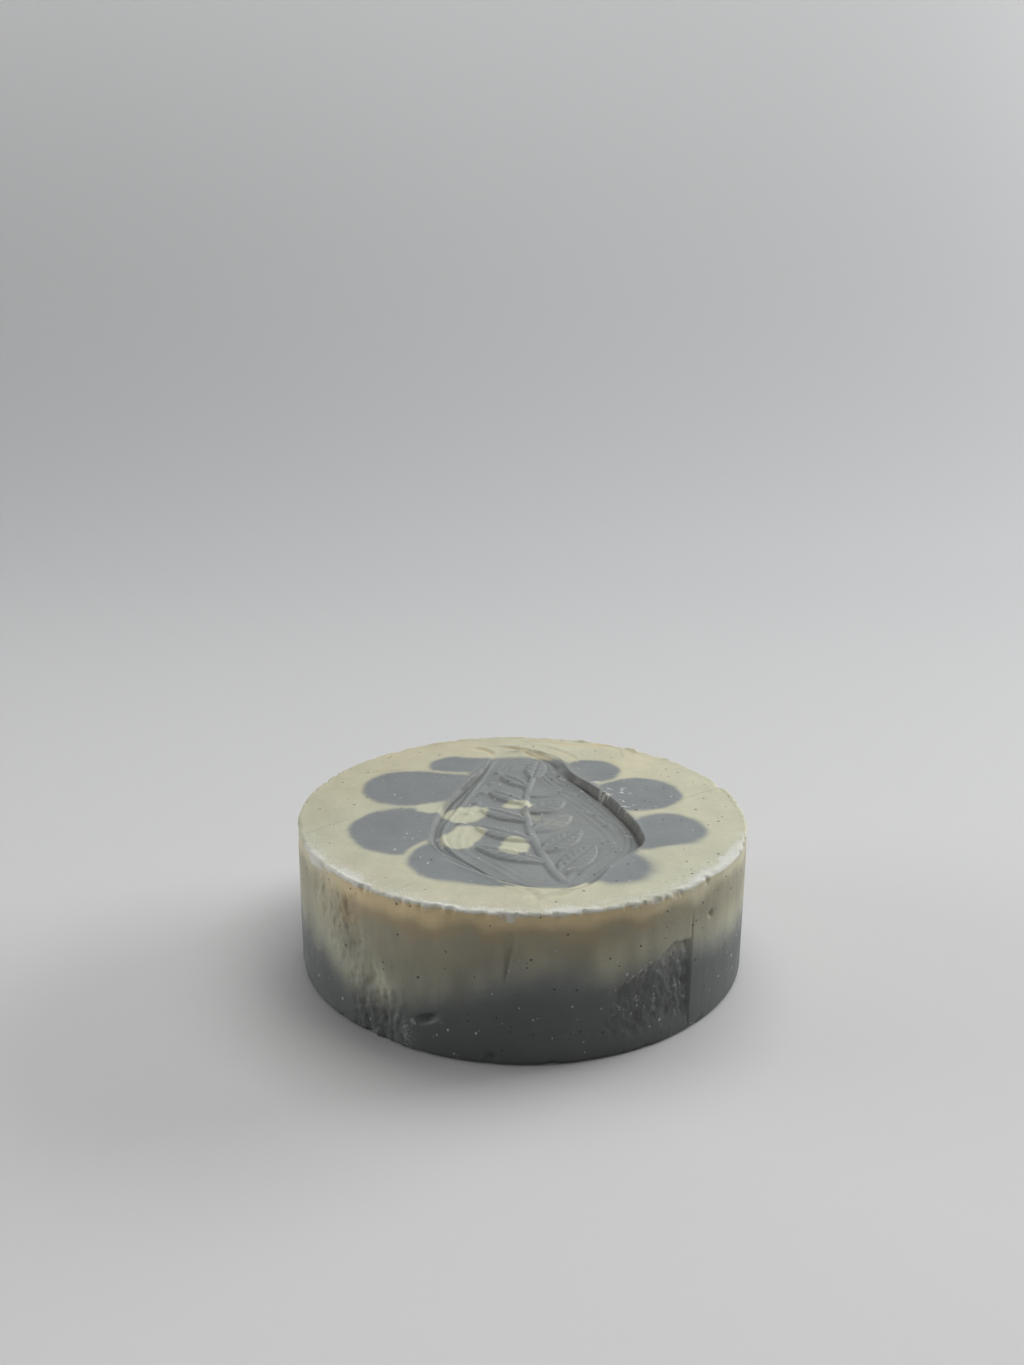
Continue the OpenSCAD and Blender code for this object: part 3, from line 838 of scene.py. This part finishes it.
def wall_tones(x, y, z):
    """The same shares on the wall, where the colours run from cream down to dark grey."""
    a = around(x, y)
    directions, heights = zip(*GREY_RISE)
    level = np.interp(a, directions, heights) + 0.7 * lumps(x, y, z * 0.3, 11.0, 2, 33.0)
    grey = 0.28 * smooth(24.5, 19, z) + 0.72 * smooth(level + 5.5, level - 5.5, z)
    streak = lumps(x, y, z * 0.3, 3.0, 2, 35.0)
    grey = np.clip(grey + 0.07 * streak * grey * (1 - grey) * 4, 0, 1)
    front = smooth(-175, -155, a) * smooth(-5, -30, a)
    ragged = lumps(x, y, z, 1.1, 4, 37.0)
    coarse = lumps(x, y, z, 4.5, 2, 38.0)
    ash = 0.75 * smooth(24.0, 25.1, z + 0.5 * ragged + 0.5 * coarse) * (0.12 + 0.88 * front)
    drip = peak(a - DRIP_AT, 1.4) * smooth(23.0, 23.9, z)
    broad_drip = peak(a - BROAD_DRIP_AT, 5.0) * smooth(22.6, 23.8, z + 0.5 * ragged)
    torn = torn_left(a, z)
    ridge = left_ridge(a, x, y, z)
    # painted highlight: the raised torn ridges on the left are paler, drawn as ash
    ridge_highlight = torn * smooth(0.15, 0.65, -ridge) * 0.42
    frost_and_dent_highlight = 0.40 * smooth(-150, -165, a) * smooth(20, 4, z) * smooth(0.0, 0.8, ragged + 0.5)
    # a painted highlight on the lower left lip of the slanting dent, drawn as ash and added to
    # the frost
    arc = np.radians(a - DENT_AT) * PUCK_R
    dent = np.hypot((arc + 1.6) / 1.6, (z - 5.2) / 0.7)
    frost_and_dent_highlight = np.maximum(frost_and_dent_highlight, 0.5 * smooth(1.2, 0.6, dent) * smooth(-0.2, 0.3, ragged))
    jag = jagged(x, y, z)
    patch = torn_right(a, z, jag)
    flake = smooth(0.25, 0.7, lumps(x, y, z, 0.9, 3, 41.0))
    from_top = z - patch_top(a) - jag
    beside = smooth(-72, -64, a) * smooth(-47, -48, a)
    # painted highlight along the flaked patch's upper edge, drawn as ash
    patch_edge_highlight = peak(from_top - 0.35, 0.25) * beside
    ash = np.maximum.reduce([ash, drip, broad_drip, ridge_highlight, frost_and_dent_highlight,
                             patch * flake * 0.4, patch_edge_highlight * 0.5])
    # The wall turned yellow-brown under the rim. The yellowed colour is lighter than the cream,
    # so that band also carries a painted glow of light through the rim.
    stained = 0.25 + 0.75 * smooth(-152, -128, a) * smooth(-40, -72, a)
    yellow = smooth(16.5, 22.5, z + 2.4 * coarse) * stained
    yellow = np.maximum(yellow, 0.30 * smooth(12, 17, z))
    spot = peak(a - SPOT_AT, 3.0) * peak(z - SPOT_Z, 1.6)
    yellow = np.clip(yellow + 0.8 * spot, 0, 1)
    # painted shade in the grooves between the torn ridges, and the brown spot's own darker
    # middle
    shade = 0.25 * torn * smooth(0.0, 0.6, ridge) + 0.45 * spot
    # painted shade on the wall below the rim, stronger on the front half, which faces away from
    # the lamps, reaching further down on the left and fading out just under the rim
    low = 7 + 5.5 * smooth(-108, -95, a)
    painted_wall_shade = smooth(23.9, 21.3, z + 1.0 * coarse) * smooth(low, low + 8, z + 1.5 * streak)
    painted_wall_shade = painted_wall_shade * (0.33 + 0.43 * front)
    painted_wall_shade = painted_wall_shade * (1 - 0.5 * peak(a + 147, 7))
    shade = np.maximum(shade, painted_wall_shade)
    # painted shade in the deeper pockets of the flaked patch
    pocket = smooth(0.0, 0.5, np.abs(lumps(x, y, z, 2.6, 4, 6.5)) - 0.1)
    shade = np.maximum(shade, 0.45 * patch * pocket)
    # painted shadow in a thin line just under the flaked patch's upper edge
    shade = np.maximum(shade, 0.7 * beside * peak(from_top + 0.3, 0.3))
    # painted shade in a thin band along the foot, where the puck meets the table
    shade = np.maximum(shade, 0.25 * peak(z - 0.6, 0.7))
    return grey, np.clip(ash, 0, 1), yellow, 0.75 * np.clip(shade, 0, 1)


def base_tones(x, y):
    """The same shares on the underside: cream petals and a cream heart in grey."""
    z = 0 * x
    wx = x + 0.4 * lumps(x, y, z, 2.4, 3, 45.0)
    wy = y + 0.4 * lumps(x, y, z, 2.4, 3, 47.0)
    cream = smooth(0.6, -0.6, np.hypot(wx, wy) - HEART_D / 2)
    for edge in veined(wx, wy, under_list):
        cream = np.maximum(cream, smooth(0.6, -0.6, edge))
    cream = cream * (1 - smooth(0.8, -0.8, np.hypot(wx, wy) - EYE_D / 2))
    ash = 0.4 * smooth(0.35, 0.8, lumps(x, y, z, 5.0, 4, 49.0))
    shade = 0.22 * smooth(0.2, 0.8, lumps(x * 0.25, y, z, 1.6, 3, 51.0))
    return 1 - cream, ash, 0.3 + 0 * x, shade


def node_group(name, inputs, outputs):
    """An empty shader group with those sockets, and its two ends."""
    group = bpy.data.node_groups.new(name, "ShaderNodeTree")
    for label, kind, value in inputs:
        socket = group.interface.new_socket(label, in_out="INPUT", socket_type=kind)
        socket.default_value = value
    for label, kind in outputs:
        group.interface.new_socket(label, in_out="OUTPUT", socket_type=kind)
    return group, group.nodes.new("NodeGroupInput"), group.nodes.new("NodeGroupOutput")


def feed(group, socket, value):
    """Sets a socket to a number or colour, or links another socket to it."""
    if isinstance(value, (int, float, tuple)):
        socket.default_value = value
    else:
        group.links.new(value, socket)


def maths(group, operation, *values, clamp=False):
    node = group.nodes.new("ShaderNodeMath")
    node.operation = operation
    node.use_clamp = clamp
    for socket, value in zip(node.inputs, values):
        feed(group, socket, value)
    return node.outputs[0]


def blend_colours(group, share, a, b):
    node = group.nodes.new("ShaderNodeMix")
    node.data_type = "RGBA"
    for i, value in ((0, share), (6, a), (7, b)):
        feed(group, node.inputs[i], value)
    return node.outputs[2]


def remap(group, value, low, high, to_low=0.0, to_high=1.0):
    node = group.nodes.new("ShaderNodeMapRange")
    node.interpolation_type = "SMOOTHSTEP"
    for label, number in (("From Min", low), ("From Max", high),
                          ("To Min", to_low), ("To Max", to_high)):
        node.inputs[label].default_value = number
    group.links.new(value, node.inputs["Value"])
    return node.outputs["Result"]


def millimetres(group):
    """The point's place on the puck, in millimetres."""
    place = group.nodes.new("ShaderNodeTexCoord")
    scale = group.nodes.new("ShaderNodeVectorMath")
    scale.operation = "SCALE"
    scale.inputs["Scale"].default_value = 1000
    group.links.new(place.outputs["Object"], scale.inputs[0])
    return scale.outputs[0]


def noise(group, place, scale, detail, rough, offset):
    node = group.nodes.new("ShaderNodeTexNoise")
    node.noise_dimensions = "4D"
    node.inputs["W"].default_value = offset
    node.inputs["Scale"].default_value = scale
    node.inputs["Detail"].default_value = detail
    node.inputs["Roughness"].default_value = rough
    group.links.new(place, node.inputs["Vector"])
    return node.outputs["Fac"]


def specks(group, place, scale, size, amount, offset, stretch=(1, 1, 1)):
    """Specks of that size in cells, in that share of the cells, drawn out by that stretch."""
    longer = group.nodes.new("ShaderNodeVectorMath")
    longer.operation = "MULTIPLY"
    longer.inputs[1].default_value = stretch
    group.links.new(place, longer.inputs[0])
    node = group.nodes.new("ShaderNodeTexVoronoi")
    node.voronoi_dimensions = "4D"
    node.inputs["W"].default_value = offset
    node.inputs["Scale"].default_value = scale
    group.links.new(longer.outputs[0], node.inputs["Vector"])
    split = group.nodes.new("ShaderNodeSeparateColor")
    group.links.new(node.outputs["Color"], split.inputs[0])
    chosen = maths(group, "LESS_THAN", split.outputs[0], amount)
    limit = maths(group, "MULTIPLY_ADD", split.outputs[1], size * 0.7, size * 0.5)
    near = maths(group, "SUBTRACT", limit, node.outputs["Distance"])
    near = maths(group, "MULTIPLY", near, 1 / (0.25 * size), clamp=True)
    return maths(group, "MULTIPLY", near, chosen)


soap_group, soap_in, soap_out = node_group(
    "hand_poured_soap",
    [("Cream", "NodeSocketColor", (0.495, 0.496, 0.370, 1)),
     ("Grey", "NodeSocketColor", (0.198, 0.216, 0.218, 1)),
     # the yellowed colour is real yellowing, made lighter than the cream as a painted glow of
     # light passing through the soap
     ("Yellowed with glow", "NodeSocketColor", (0.61, 0.49, 0.285, 1)),
     ("Dark grey", "NodeSocketColor", (0.10, 0.108, 0.108, 1)),
     ("Ash", "NodeSocketColor", (0.67, 0.675, 0.63, 1)),
     ("Tones", "NodeSocketColor", (0, 0, 0, 1)),
     ("Shade", "NodeSocketFloat", 0.0)],
    [("Color", "NodeSocketColor"), ("Roughness", "NodeSocketFloat"),
     ("Height", "NodeSocketFloat")])
CHARCOAL = (0.03, 0.032, 0.035, 1)
IN_SHADE = (0.07, 0.063, 0.05, 1)


def build_soap(g):
    """From the pours' shares at a point to its colour, roughness and fine relief."""
    place = millimetres(g)
    tones = g.nodes.new("ShaderNodeSeparateColor")
    g.links.new(soap_in.outputs["Tones"], tones.inputs[0])
    grey_share, ash_share, yellow_share = tones.outputs
    broad = noise(g, place, 0.16, 3, 0.5, 1.0)
    cloud = noise(g, place, 0.75, 4, 0.6, 2.0)
    grain = noise(g, place, 4.5, 3, 0.6, 3.0)
    fine = noise(g, place, 14.0, 2, 0.5, 4.0)
    # the two soaps, each a little uneven
    cream = blend_colours(g, yellow_share, soap_in.outputs["Cream"], soap_in.outputs["Yellowed with glow"])
    height = g.nodes.new("ShaderNodeSeparateXYZ")
    g.links.new(place, height.inputs[0])
    low = remap(g, height.outputs[2], 22.5, 8.0)
    grey = blend_colours(g, low, soap_in.outputs["Grey"], soap_in.outputs["Dark grey"])
    edge = maths(g, "MULTIPLY_ADD", maths(g, "SUBTRACT", cloud, 0.5), 0.25, grey_share)
    share = remap(g, edge, 0.0, 1.0)
    colour = blend_colours(g, share, cream, grey)
    uneven = maths(g, "ADD", remap(g, broad, 0.3, 0.7, 0.93, 1.05),
                   remap(g, cloud, 0.3, 0.7, -0.035, 0.035))
    uneven = maths(g, "ADD", uneven, remap(g, grain, 0.3, 0.7, -0.03, 0.03))
    tint = g.nodes.new("ShaderNodeVectorMath")
    tint.operation = "SCALE"
    g.links.new(colour, tint.inputs[0])
    g.links.new(uneven, tint.inputs["Scale"])
    colour = tint.outputs[0]
    # charcoal and clay that did not dissolve
    white = specks(g, place, 0.75, 0.20, 0.60, 5.0, (1.3, 0.7, 1.0))
    crystals = specks(g, place, 1.1, 0.20, 0.40, 8.0, (0.8, 1.3, 1.0))
    white = maths(g, "MAXIMUM", white, crystals)
    white = maths(g, "MULTIPLY", white, remap(g, grey_share, 0.0, 0.8, 0.20, 0.48))
    dark = specks(g, place, 0.95, 0.23, 0.55, 6.0)
    dust = specks(g, place, 1.6, 0.16, 0.16, 7.0)
    colour = blend_colours(g, white, colour, soap_in.outputs["Ash"])
    colour = blend_colours(g, maths(g, "MULTIPLY", dark, 0.8), colour, CHARCOAL)
    colour = blend_colours(g, maths(g, "MULTIPLY", dust, 0.22), colour, soap_in.outputs["Ash"])
    # painted shade, and a few real dark marks such as cracks and the brown spot, darken the
    # colour toward IN_SHADE
    shade = maths(g, "MULTIPLY", soap_in.outputs["Shade"], 0.8)
    colour = blend_colours(g, shade, colour, IN_SHADE)
    # soda ash, in crumbs
    crumb = maths(g, "MULTIPLY_ADD", maths(g, "SUBTRACT", grain, 0.5), 1.3, ash_share)
    ash = remap(g, crumb, 0.22, 0.85)
    colour = blend_colours(g, maths(g, "MULTIPLY", ash, 0.80), colour, soap_in.outputs["Ash"])
    g.links.new(colour, soap_out.inputs["Color"])
    rough = maths(g, "MULTIPLY_ADD", ash, 0.3, remap(g, cloud, 0.3, 0.7, 0.46, 0.58))
    rough = maths(g, "ADD", rough, remap(g, fine, 0.3, 0.7, -0.05, 0.05))
    g.links.new(rough, soap_out.inputs["Roughness"])
    # the fine relief, in which dark specks are pits and ash stands up in grains
    bumps = maths(g, "MULTIPLY", cloud, 0.9)
    for part, high in ((grain, 0.45), (fine, 0.16), (white, 0.35), (dark, -0.5)):
        bumps = maths(g, "MULTIPLY_ADD", part, high, bumps)
    bumps = maths(g, "MULTIPLY_ADD", ash, maths(g, "MULTIPLY", grain, 1.4), bumps)
    g.links.new(bumps, soap_out.inputs["Height"])


build_soap(soap_group)


SOAP_SPECULAR, SOAP_IOR = 0.42, 1.45
RELIEF_STRENGTH, RELIEF_DEPTH = 0.55, 0.00016


def soap_material(name):
    """A waxy finish over the poured colours, one for each colour of soap."""
    material = bpy.data.materials.new(name)
    material.use_nodes = True
    tree = material.node_tree
    shader = tree.nodes["Principled BSDF"]
    shader.inputs["Specular IOR Level"].default_value = SOAP_SPECULAR
    shader.inputs["IOR"].default_value = SOAP_IOR
    tones = tree.nodes.new("ShaderNodeAttribute")
    tones.attribute_name = "tones"
    soap = tree.nodes.new("ShaderNodeGroup")
    soap.node_tree = soap_group
    bump = tree.nodes.new("ShaderNodeBump")
    bump.inputs["Strength"].default_value = RELIEF_STRENGTH
    bump.inputs["Distance"].default_value = RELIEF_DEPTH
    for start, label, end, socket in ((tones, "Color", soap, "Tones"),
                                      (tones, "Alpha", soap, "Shade"),
                                      (soap, "Color", shader, "Base Color"),
                                      (soap, "Roughness", shader, "Roughness"),
                                      (soap, "Height", bump, "Height"),
                                      (bump, "Normal", shader, "Normal")):
        tree.links.new(start.outputs[label], end.inputs[socket])
    return material


cream_soap = soap_material("cream_soap")
grey_soap = soap_material("grey_soap")


def soap_piece(name, node, mesh, grey):
    """Colours one cut piece of the puck, scales it to metres and puts it in its node's place."""
    points = read_all(mesh.vertices, "co", 3).astype(float)
    corner = read_all(mesh.loops, "vertex_index", 1, np.int32)
    kind = read_all(mesh.attributes["kind"].data, "value", 1, np.int32)
    sizes = read_all(mesh.polygons, "loop_total", 1, np.int32)
    corner_kind = np.repeat(kind, sizes)
    # colours at every corner
    tones = np.zeros((len(corner), 4))
    tones[:, 0] = 1.0 if grey else 0.0
    at = points[corner]
    for code, tone in ((TOP_FACE, lambda p: top_tones(p[:, 0], p[:, 1])),
                       (WALL_FACE, lambda p: wall_tones(p[:, 0], p[:, 1], p[:, 2])),
                       (BASE_FACE, lambda p: base_tones(p[:, 0], p[:, 1]))):
        here = corner_kind == code
        if here.any():
            tones[here] = np.stack(tone(at[here]), -1)
    mesh.attributes.new("tones", "FLOAT_COLOR", "CORNER").data.foreach_set(
        "color", np.clip(tones, 0, 1).astype(np.float32).ravel())
    # the outside keeps the whole puck's normals, so that no seam shows between two pieces
    normals = np.repeat(read_all(mesh.polygons, "normal", 3), sizes, 0)
    outside = corner_kind > 0
    used = np.unique(corner[outside])
    own = np.zeros((len(points), 3), np.float32)
    for v in used:
        found = blank_tree.find_n(points[v], 3)
        weights = np.array([1 / (1e-6 + d) for _, _, d in found])
        n = (blank_normals[[i for _, i, _ in found]] * weights[:, None]).sum(0)
        own[v] = n / np.linalg.norm(n)
    normals[outside] = own[corner[outside]]
    mesh.vertices.foreach_set("co", (points * 0.001).astype(np.float32).ravel())
    mesh.polygons.foreach_set("use_smooth", np.ones(len(mesh.polygons), bool))
    mesh.update()
    mesh.normals_split_custom_set(normals)
    mesh.attributes.remove(mesh.attributes["kind"])
    mesh.materials.clear()
    mesh.materials.append(grey_soap if grey else cream_soap)
    piece = bpy.data.objects.new(name, mesh)
    bpy.context.scene.collection.objects.link(piece)
    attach(piece, "root")
    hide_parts(node)


# ---- Lower pour ----
# The lower half of the puck and of its wall: soap coloured dark grey with charcoal. It went
# into the tube first, and the cream soap above it bonded to it as both set.

soap_piece("lower_pour", "grey_lower_pour",
           cut("lower", blank, [lower_tier], [heart_block] + under_block), True)

# ---- Heart, eye and petals of the underside ----
# Cream soap that was poured through the grey: a round heart at the middle with one drop of
# grey in it, and eight petals that it had pushed outward. They bonded to the grey as it set.

soap_piece("heart", "cream_heart",
           cut("heart", blank, [lower_tier, heart_block], [eye_block]), False)
soap_piece("eye", "grey_eye", cut("eye", blank, [lower_tier, eye_block]), True)
for i in range(UNDER_PETALS):
    soap_piece(f"under_petal_{i + 1}", f"cream_petal_{i + 1}",
               cut("under", blank, [lower_tier, under_block[i]], [heart_block]), False)

# ---- Upper pour ----
# The upper half of the puck: cream soap that filled the rest of the tube, and makes the
# top's ring, the veins between the petals and the pale part of the wall.

soap_piece("upper_pour", "cream_upper_pour",
           cut("upper", blank, [upper_tier], [core_block] + petal_block), False)

# ---- Core and islands ----
# Grey soap that was spooned into the middle of the cream, where the die was pressed in
# later. It caught four small islands of cream, and they set together.

soap_piece("core", "grey_core", cut("core", blank, [upper_tier, core_block], island_block), True)
for i, block in enumerate(island_block):
    soap_piece(f"island_{i + 1}", f"cream_island_{i + 1}",
               cut("island", blank, [upper_tier, block]), False)

# ---- Petals ----
# Eight spoonfuls of grey soap that spread outward round the core, each cut back by the one
# poured before it, with a thin vein of cream between them. They set in the cream.

for i, block in enumerate(petal_block):
    soap_piece(f"petal_{i + 1}", f"grey_petal_{i + 1}",
               cut("petal", blank, [upper_tier, block], [core_block]), True)

# The cutting blocks are not part of the puck
for block in ([upper_tier, lower_tier, core_block, core_gap, stamp_gap, heart_block, eye_block]
              + petal_block + under_block + island_block + spare_a + spare_b):
    bpy.data.objects.remove(block)

# ---- Table, light and camera ----
# A pale sheet that curves up behind the puck, one broad soft light above and a little
# behind it, one at each side, and a weak even light from all round.

SHEET_FRONT = -0.9
SHEET_CURVE = 0.55
SHEET_BACK = 0.9
SHEET_HEIGHT = 1.6
SHEET_HALF_W = 1.6


def backdrop():
    profile = [(SHEET_FRONT, 0.0), (SHEET_BACK - SHEET_CURVE, 0.0)]
    for t in np.linspace(0, math.pi / 2, 24)[1:]:
        profile.append((SHEET_BACK - SHEET_CURVE + SHEET_CURVE * math.sin(t),
                        SHEET_CURVE * (1 - math.cos(t))))
    profile.append((SHEET_BACK, SHEET_HEIGHT))
    points = [(x, y, z) for y, z in profile for x in (-SHEET_HALF_W, SHEET_HALF_W)]
    faces = [(2 * i, 2 * i + 1, 2 * i + 3, 2 * i + 2) for i in range(len(profile) - 1)]
    mesh = bpy.data.meshes.new("backdrop")
    mesh.from_pydata(points, [], faces)
    mesh.polygons.foreach_set("use_smooth", [True] * len(mesh.polygons))
    obj = bpy.data.objects.new("backdrop", mesh)
    bpy.context.scene.collection.objects.link(obj)
    return obj


sheet = backdrop()
paper = bpy.data.materials.new("pale_sheet")
paper.use_nodes = True
tree = paper.node_tree
paper_shader = tree.nodes["Principled BSDF"]
paper_shader.inputs["Roughness"].default_value = 0.9
paper_shader.inputs["Specular IOR Level"].default_value = 0.1
# the upper part of the sheet stands further from the lamps and is a paler grey
paper_place = tree.nodes.new("ShaderNodeTexCoord")
paper_height = tree.nodes.new("ShaderNodeSeparateXYZ")
tree.links.new(paper_place.outputs["Object"], paper_height.inputs[0])
front = remap(tree, paper_height.outputs[1], -0.12, 0.35)
upper = remap(tree, paper_height.outputs[2], 0.02, 0.60)
near = blend_colours(tree, front, (0.62, 0.62, 0.62, 1), (0.45, 0.454, 0.46, 1))
paper_colour = blend_colours(tree, upper, near, (0.88, 0.885, 0.89, 1))
tree.links.new(paper_colour, paper_shader.inputs["Base Color"])
sheet.data.materials.append(paper)

world = bpy.data.worlds.new("soft_room")
world.use_nodes = True
room = world.node_tree
room_light = room.nodes["Background"]
room_light.inputs["Color"].default_value = (1, 1, 1, 1)
room_light.inputs["Strength"].default_value = 0.18
# what the camera and a gloss see past the sheet is as pale as the sheet
room_seen = room.nodes.new("ShaderNodeBackground")
room_seen.inputs["Color"].default_value = (0.50, 0.505, 0.52, 1)
room_seen.inputs["Strength"].default_value = 1.0
rays = room.nodes.new("ShaderNodeLightPath")
seen = maths(room, "MAXIMUM", rays.outputs["Is Camera Ray"], rays.outputs["Is Glossy Ray"])
either = room.nodes.new("ShaderNodeMixShader")
for i, value in enumerate((seen, room_light.outputs[0], room_seen.outputs[0])):
    room.links.new(value, either.inputs[i])
room.links.new(either.outputs[0], room.nodes["World Output"].inputs["Surface"])
bpy.context.scene.world = world


def soft_box(name, place, width, height, watts):
    """A broad soft lamp that faces the puck."""
    lamp = bpy.data.lights.new(name, "AREA")
    lamp.shape = "RECTANGLE"
    lamp.size = width
    lamp.size_y = height
    lamp.energy = watts
    box = bpy.data.objects.new(name, lamp)
    box.location = place
    box.rotation_euler = (-box.location).to_track_quat("-Z", "Y").to_euler()
    box.visible_camera = False
    bpy.context.scene.collection.objects.link(box)


soft_box("box_above", (0.16, 0.20, 0.70), 0.8, 0.5, 3.5)
soft_box("box_right", (1.04, 0.60, 0.41), 0.7, 0.5, 12.5)
soft_box("box_left", (-1.18, 0.16, 0.24), 0.7, 0.5, 6.8)

CAMERA_AT = (-0.002018, -0.205605, 0.11138)
CAMERA_DOWN = 17.145
CAMERA_ROLL = 0.5235
LENS, SENSOR = 34.286, 36
down, roll = math.radians(CAMERA_DOWN), math.radians(CAMERA_ROLL)
level, level_up = Vector((1, 0, 0)), Vector((0, math.sin(down), math.cos(down)))
right = math.cos(roll) * level + math.sin(roll) * level_up
up = math.cos(roll) * level_up - math.sin(roll) * level
ahead = Vector((0, math.cos(down), -math.sin(down)))
lens = bpy.data.cameras.new("camera")
lens.sensor_fit = "AUTO"
lens.sensor_width = SENSOR
lens.lens = LENS
lens.clip_start = 0.01
camera = bpy.data.objects.new("camera", lens)
turned = Matrix((right, up, -ahead)).transposed().to_4x4()
turned.translation = Vector(CAMERA_AT)
camera.matrix_world = turned
bpy.context.scene.collection.objects.link(camera)
bpy.context.scene.camera = camera
bpy.context.scene.view_settings.view_transform = "Standard"
